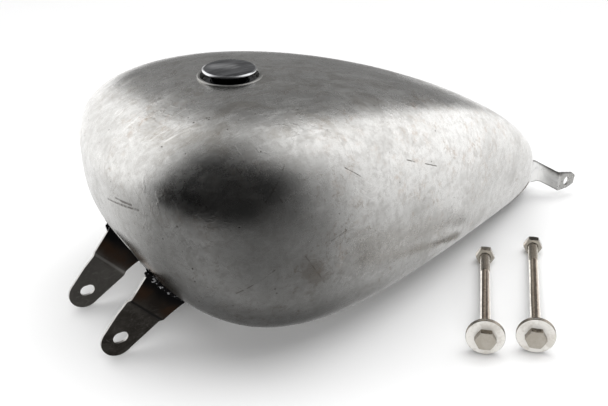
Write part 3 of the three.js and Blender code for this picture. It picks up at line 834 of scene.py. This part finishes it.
# painted light and shade in these colours: the washers' light faces stand for the bright floor they mirror;
# the dark tops of shank and hexes and the washers' dark sides are painted dark reflections
SHANK = zinc_with_painted_light("zinc_shank", face=(0.52, 0.46, 0.38), side=(0.84, 0.80, 0.73),
                    top=(0.26, 0.20, 0.15), face_metal=0.15)
ZINC = zinc_with_painted_light("zinc_plate", face=(0.60, 0.56, 0.49), side=(0.70, 0.64, 0.55),
                   top=(0.045, 0.036, 0.028), face_metal=0.5, painted_top_from=0.22, painted_top_full=0.62)
WASHER_ZINC = zinc_with_painted_light("zinc_washer", face=(0.90, 0.875, 0.83), side=(0.14, 0.115, 0.09),
                          top=(0.40, 0.35, 0.29), face_metal=0.3)


def finish_piece(obj, material, body, slot, *nodes):
    """Gives a new piece its material, the body it rides on, and the CAD nodes it stands for."""
    obj.data.materials.clear()
    obj.data.materials.append(material)
    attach(obj, body)
    if nodes:
        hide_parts(*nodes)
    return obj


def dress_node(name, material, width):
    """A CAD node kept as it is, with its edges rounded and a material."""
    obj = NODES[name]
    obj.data.materials.clear()
    obj.data.materials.append(material)
    modifier(obj, "WELD", merge_threshold=1e-5)
    modifier(obj, "DECIMATE", decimate_type="DISSOLVE", angle_limit=math.radians(4))
    bevel(obj, width, 3, 28)
    obj.data.shade_smooth()
    modifier(obj, "WEIGHTED_NORMAL", keep_sharp=True, weight=80)
    return obj


# ---- tank body: smooth skins cut like their CAD nodes ----
outer = body_solid("body_solid")
wide_tunnel = tunnel("cut_wide", SKIN + GAP)
wall_tunnel, bare_tunnel = tunnel("cut_wall", SKIN), tunnel("cut_bare", 0)
zone_cut, zone = pan_zone("zone_cut", GAP / 2), pan_zone("zone", 0)
crown_at_cap = float(section(CAP_X)[1])
bung_cut = cylinder("bung_cut", CAP_X, 0, BUNG_RADIUS, crown_at_cap - 30, crown_at_cap + 30)
outlet_cut = cylinder("outlet_cut", OUTLET_X, OUTLET_Y, OUTLET_HOLE, -30, 40, 64)

shell = copy_of(outer, "shell")
for cutter in (wide_tunnel, zone_cut, bung_cut):
    boolean(shell, cutter)
keep_faces(shell, lambda f: f.material_index == 0)
left = copy_of(shell, "tank_left_skin")
keep_faces(left, lambda f: f.calc_center_median().y < 0)
keep_faces(shell, lambda f: f.calc_center_median().y >= 0)
shell.name = "tank_right_skin"
for skin, node in ((left, "left_shell"), (shell, "right_shell")):
    solidify(skin, SKIN)
    finish_piece(skin, RAW, "tank", "raw_steel", node)

belly = copy_of(outer, "tank_pan_skin")
boolean(belly, zone, "INTERSECT")
boolean(belly, bare_tunnel)
boolean(belly, outlet_cut)
keep_faces(belly, lambda f: f.material_index == 0)
solidify(belly, SKIN)
walls = copy_of(wall_tunnel, "tank_tunnel")
boolean(walls, outer, "INTERSECT")
keep_faces(walls, lambda f: f.material_index == 1)
solidify(walls, SKIN)
finish_piece(belly, PAN, "tank", "pan_steel", "tunnel_pan")
finish_piece(walls, PAN, "tank", "pan_steel")
discard(outer, wide_tunnel, wall_tunnel, bare_tunnel, zone_cut, zone, bung_cut, outlet_cut)

# ---- weld beads ----
SIDES = ((-1, "left"), (1, "right"))
seam_x = np.linspace(116, 512, 160)
seam_z = section(seam_x)[2] + SEAM_LIP
for side, tag in SIDES:
    path = np.stack([seam_x, side * side_at(seam_x, seam_z), seam_z], -1)
    made = bead(f"weld_seam_{tag}", path, surface_normal(path), 4.2, 1.5, 3.0)
    finish_piece(made, WELD, "tank", "raw_steel")

for side, tag in SIDES:
    path = tab_base(side, TAB_FACE_Y + 0.6)
    normals = surface_normal(path) * 0.45 + np.array([-0.1, side * 0.9, 0])
    made = bead(f"weld_tab_{tag}_outer", path - np.array([1.9, 0, 1.6]), normals, 7.0, 2.2, 3.6)
    finish_piece(made, FLECKED if side < 0 else BURNT, "tank", "heated_steel")
    path = tab_base(side, TAB_FACE_Y - TAB_THICK - 0.2)
    normals = surface_normal(path) * 0.8 - np.array([0.15, side * 0.75, 0])
    made = bead(f"weld_tab_{tag}_inner", path, normals, 5.0, 1.8, 3.6)
    finish_piece(made, BURNT, "tank", "heated_steel")

# ---- brackets, outlet and filler bung ----
dress_node("front_left_tab", HEATED, 0.5)
dress_node("front_right_tab", HEATED, 0.5)
dress_node("rear_ear", BRIGHT, 0.35).visible_glossy = False
outlet = lathe("fuel_outlet_ring", [(7.6, 9.6), (11.6, 9.6), (11.6, 23.6), (7.6, 23.6)], 0.6, 64,
               Matrix.Translation(row([OUTLET_X, OUTLET_Y, 0])))
finish_piece(outlet, PAN, "tank", "pan_steel", "fuel_outlet_bung")

# these profiles are radius, height from the crown under the cap, and the corner's own radius if it has one
at_cap = Matrix.Translation(row([CAP_X, 0, crown_at_cap]))
bung = lathe("filler_ring", [
    (26.5, 0.3, 0.5), (26.5, -9, 0.8), (20.5, -9, 0.5), (20.5, -30, 0.5), (23.9, -30, 0.5),
    (23.9, -12.4, 0.5), (BUNG_RADIUS, -12.4, 0.5), (BUNG_RADIUS, -0.3, 0.3),
    (28.2, 0.35, 0.9)], 0.4, 128, at_cap)
finish_piece(bung, PAN, "tank", "raw_steel", "filler_bung")

# ---- pop-up cap ----
seal = lathe("cap_seal_ring", [(21, -8.7), (24.4, -8.7), (24.4, -7.2), (21, -7.2)], 0.4, 96, at_cap)
finish_piece(seal, RUBBER, "cap_seal", "rubber", "cap_seal")
o_ring = lathe("cap_o_ring_round", ring_of(0.5, 12, (25.75, -5.9)), 0, 96, at_cap)
finish_piece(o_ring, RUBBER, "cap_o_ring", "rubber", "cap_o_ring")
plug = lathe("cap_plug_body", [
    (6.3, -28), (20.1, -28, 1.2), (20.1, -6.9), (24.9, -6.9), (24.9, -4.9), (17.5, -4.9, 0.5), (17.5, -25),
    (6.3, -25)], 0.35, 112, at_cap)
finish_piece(plug, BLACK_CHROME, "cap_plug", "black_chrome", "cap_plug")
knob = lathe("cap_knob_body", [
    (0, -32), (5.9, -32, 0.6), (5.9, 1.2), (15.1, 1.2), (15.1, -12), (17.1, -12), (17.1, 3.7),
    (0, 3.7)], 0.4, 112, at_cap)
finish_piece(knob, BLACK_CHROME, "cap_knob", "black_chrome", "cap_knob")
lid = lathe("cap_lid_disc", [
    (0, 4), (23.4, 4, 0.3), (24.4, 4.8, 0.4), (24.4, 5.5, 0.9), (22.6, 6.55, 1.6), (18, 6.8, 4),
    (0, 7)], 0.5, 144, at_cap)
finish_piece(lid, DARK_CHROME, "cap_knob", "dark_chrome", "cap_lid")
valve = lathe("cap_vent_valve_pin", [
    (0, -30), (2.4, -30), (2.4, -24.7), (3.6, -24.7), (3.6, -23.5),
    (0, -23.5)], 0.3, 48, at_cap @ Matrix.Translation((13.2 * MM, 0, 0)))
finish_piece(valve, BRIGHT, "cap_plug", "bright_steel", "cap_vent_valve")
clip = lathe("cap_clip_ring", [(6.2, -29.8), (9.5, -29.8), (9.5, -28.3), (6.2, -28.3)], 0.3, 64, at_cap)
finish_piece(clip, WIRE, "cap_knob", "spring_steel", "cap_clip")


def spring(name, radius, low, high, turns, wire, place):
    """A coil of round wire with flat-cut ends."""
    steps, around = 48 * turns, 12
    vertices = []
    for i in range(steps + 1):
        a = 2 * math.pi * turns * i / steps
        out = np.array([math.cos(a), math.sin(a), 0])
        centre = out * radius + np.array([0, 0, low + (high - low) * i / steps])
        vertices += [centre + out * b + np.array([0, 0, c]) for b, c in ring_of(wire, around)]
    faces = []
    for i in range(steps):
        faces += band(around, i * around, (i + 1) * around)
    faces += [list(range(around)), list(range(steps * around + around - 1, steps * around - 1, -1))]
    made = faced_out(obj_of(name, np.array(vertices) * MM, faces, metres=True))
    made.data.transform(place)
    return smooth(made, 60)


# the spring is 25.44 mm long over its wire, and the knob goes down 7.5 mm
coil = spring("cap_spring_coil", 8.2, -24.0, 0.2, 6, 0.7, at_cap)
finish_piece(coil, WIRE, "cap_plug", "spring_steel", "cap_spring")
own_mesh(coil)


# ---- loose bolts ----
def hexagon(name, height, bore, chamfers, place):
    """A hexagon, turned off at its lower and upper corners where chamfers says so. A bore of 0 is none."""
    corner = HEX_FLATS / math.sqrt(3)
    vertices = [(x, y, z) for z in (0, height) for x, y in ring_of(corner, 6)]
    faces = [[5, 4, 3, 2, 1, 0], [6, 7, 8, 9, 10, 11], *band(6, 0, 6)]
    made = obj_of(name, np.array(vertices) * MM, faces, metres=True)
    bottom, top = chamfers
    flat, out = 8.3, corner + 0.5
    rise = (out - flat) * math.tan(math.radians(30))
    profile = [(flat if bottom else out, 0), (out, rise if bottom else 0.01),
               (out, height - (rise if top else 0.01)), (flat if top else out, height)]
    if bore:
        profile = [(bore, 1.0), (bore + 0.9, 0), *profile, (bore + 0.9, height), (bore, height - 1.0)]
    else:
        profile = [(0, 0), *profile, (0, height)]
    cone = lathe(name + "_cone", profile, 0, 96)
    boolean(made, cone, "INTERSECT")
    discard(cone)
    bake(bevel(made, 0.22, 2, 24))
    made.data.transform(place)
    return smooth(made, 24)


def shank(name, tip, thread_from, place):
    """A smooth shank that runs into a rolled thread with a chamfered tip."""
    root, plain, around = 4.3, 4.78, 64
    fine = THREAD_PITCH / 10
    thread = np.arange(thread_from + fine, tip, fine)
    zs = np.concatenate([[-1.0, 0.0], np.linspace(0.5, thread_from, 24), thread, [tip]])
    vertices = []
    for z in zs:
        entry = min(max((z - thread_from) / (1.6 * THREAD_PITCH), 0), 1)
        chamfered = THREAD_RADIUS - max(0.0, z - (tip - 1.1))
        for k in range(around):
            a = 2 * math.pi * k / around
            phase = (z / THREAD_PITCH - k / around) % 1
            tooth = min(max((1 - abs(2 * phase - 1) - 0.1) / 0.72, 0), 1)
            r = plain * (1 - entry) + entry * (root + (THREAD_RADIUS - root) * tooth)
            r = min(r, chamfered)
            vertices.append((r * math.cos(a), r * math.sin(a), z))
    rows = len(zs)
    faces = []
    for j in range(rows - 1):
        faces += band(around, j * around, (j + 1) * around)
    faces += [list(range(around - 1, -1, -1)), list(range((rows - 1) * around, rows * around))]
    made = obj_of(name, np.array(vertices) * MM, faces, metres=True)
    made.data.transform(place)
    return smooth(made, 50)


for number, x, y, heading, grip in BOLTS:
    stack = 2 * (GAP + WASHER_THICK)
    fall = math.atan((WASHER_RADIUS - HEX_FLATS / 2) / (grip + NUT_HEIGHT - stack))
    turn = math.radians(heading)
    axis = Vector((math.cos(fall) * math.cos(turn), math.cos(fall) * math.sin(turn), -math.sin(fall)))
    level = Vector((-math.sin(turn), math.cos(turn), 0))
    foot = row([x, y, WASHER_RADIUS * math.cos(fall) + stack * math.sin(fall)])
    place = Matrix.Translation(foot) @ Matrix((level, axis.cross(level), axis)).transposed().to_4x4()
    rod = shank(f"bolt_{number}_shank", grip + NUT_HEIGHT + 2, grip - 34, place)
    head_place = place @ Matrix.Translation((0, 0, -HEAD_HEIGHT * MM))
    head = hexagon(f"bolt_{number}_hex", HEAD_HEIGHT, 0, (True, False), head_place)
    finish_piece(rod, SHANK, f"bolt_{number}", "zinc_plate", f"bolt_{number}")
    finish_piece(head, ZINC, f"bolt_{number}", "zinc_plate")
    for where, low in (("outer", GAP), ("inner", 2 * GAP + WASHER_THICK)):
        high = low + WASHER_THICK
        profile = [(WASHER_BORE, low, 0.25), (WASHER_RADIUS, low, 0.75), (WASHER_RADIUS, high, 0.5),
                   (WASHER_BORE, high, 0.3)]
        disc = lathe(f"washer_{number}_{where}_disc", profile, 0.4, 128, place)
        finish_piece(disc, WASHER_ZINC, f"washer_{number}_{where}", "zinc_plate", f"washer_{number}_{where}")
    nut_place = place @ Matrix.Translation((0, 0, grip * MM))
    nut = hexagon(f"nut_{number}_hex", NUT_HEIGHT, 5.0, (True, True), nut_place)
    finish_piece(nut, ZINC, f"nut_{number}", "zinc_plate", f"nut_{number}")

# ---- floor and backdrop, in metres ----
FLOOR_Z, FLOOR_REACH = -0.0956, 6
WALL_RADIUS, WALL_TOP, WALL_SIDES = 5.9, 4.5, 96
floor_corners = [(-1, -1), (1, -1), (1, 1), (-1, 1)]
floor_points = [(x * FLOOR_REACH, y * FLOOR_REACH, FLOOR_Z) for x, y in floor_corners]
floor = obj_of("floor", floor_points, [[0, 1, 2, 3]], metres=True)
paper = Shader("paper")
paper_grey = paper.mix(paper.ramp(paper.noise(3, 2), 0.3, 0.7), (0.86, 0.86, 0.86), (0.88, 0.88, 0.88))
paper.set(Base_Color=paper_grey, Roughness=0.9, Specular_IOR_Level=0.0)
floor.data.materials.append(paper.material)
floor.visible_glossy = False

# only the camera sees the backdrop, so it changes nothing on the tank
wall_points = [(x, y, z) for z in (FLOOR_Z, WALL_TOP) for x, y in ring_of(WALL_RADIUS, WALL_SIDES)]
backdrop = obj_of("backdrop", wall_points, band(WALL_SIDES, 0, WALL_SIDES), metres=True)
pale = Shader("backdrop_paper")
pale.set(Base_Color=(0, 0, 0), Roughness=1.0, Emission_Strength=0.62,
         Emission_Color=pale.mix(pale.ramp(pale.noise(1.5, 2), 0.3, 0.7), (0.97, 0.97, 0.97), (1, 1, 1)))
backdrop.data.materials.append(pale.material)
backdrop.visible_glossy = backdrop.visible_diffuse = backdrop.visible_shadow = False

# ---- light: the metal mirrors soft round areas of the world, each laid over the ones before it ----
# azimuth (0 is left of the tank, 90 behind it), elevation, the angles from its middle at which the area is
# full and gone, all in degrees, and its brightness
BASE_BRIGHTNESS = 0.296
LOBES = [
    (174, -76, 11, 53, 0.13),
    (110, 26, 9, 94, 1.53),
    (-169, 25, 34, 77, 1.56),
    (144, 22, 29, 35, 0.27),
    (-14, 23, 25, 85, 0.102),
    (-162, 78, 7, 36, 0.31),
    (-47, 43, 42, 71, 0.02),
    (-87, 6, 7, 40, 0.005),
]


class Sky(Shader):
    """The world's light, with a shader's short calls."""

    def __init__(self, name):
        world = bpy.data.worlds.new(name)
        bpy.context.scene.world = world
        world.use_nodes = True
        self.tree = world.node_tree
        self.where = self.tree.nodes.new("ShaderNodeTexCoord").outputs["Generated"]


def studio_light():
    """The world, made of LOBES."""
    sky = Sky("studio")
    bright = BASE_BRIGHTNESS
    for azimuth, elevation, full, gone, level in LOBES:
        a, e = math.radians(azimuth), math.radians(elevation)
        middle = (math.sin(a) * math.cos(e), -math.cos(a) * math.cos(e), math.sin(e))
        limits = [math.cos(math.radians(angle)) for angle in (gone, full)]
        share = sky.ramp(sky.dot(middle, sky.where), *limits)
        bright = sky.node("Mix", {0: share, 2: bright, 3: level}, data_type="FLOAT").outputs[0]
    background = sky.tree.nodes["Background"]
    sky.feed(background.inputs["Strength"], bright)
    sky.feed(background.inputs["Color"], (1, 1, 1))


def softbox(name, place, target, size, energy):
    """An area lamp for the floor and the duller, less metallic faces. It leaves no image in the metal."""
    lamp = bpy.data.lights.new(name, "AREA")
    lamp.shape, lamp.size, lamp.energy = "SQUARE", size, energy
    made = bpy.data.objects.new(name, lamp)
    made.location = place
    made.rotation_euler = (Vector(target) - Vector(place)).to_track_quat("-Z", "Y").to_euler()
    made.visible_glossy = False
    bpy.context.scene.collection.objects.link(made)


studio_light()
softbox("overhead", place=(0.1, -0.1, 2.2), target=(0.1, -0.1, 0), size=3.2, energy=66)
softbox("front_left", place=(-1.1, -1.5, 0.55), target=(0.15, -0.1, 0), size=1.2, energy=26)

# ---- camera: in front of the tank and to its left, turned from +Y towards +X and then down ----
CAMERA_PLACE = (-0.32214, -0.64032, 0.38826)
CAMERA_TURN, CAMERA_DOWN = math.radians(32), math.radians(28.7)
camera = bpy.data.objects.new("camera", bpy.data.cameras.new("camera"))
bpy.context.scene.collection.objects.link(camera)
camera.location = CAMERA_PLACE
camera.rotation_euler = (math.pi / 2 - CAMERA_DOWN, 0, -CAMERA_TURN)
camera.data.lens, camera.data.sensor_width = 49.97, 36
camera.data.clip_start, camera.data.clip_end = 0.01, 100
bpy.context.scene.camera = camera
bpy.context.scene.view_settings.view_transform = "Standard"
bpy.context.scene.view_settings.look = "None"

bpy.context.view_layer.update()
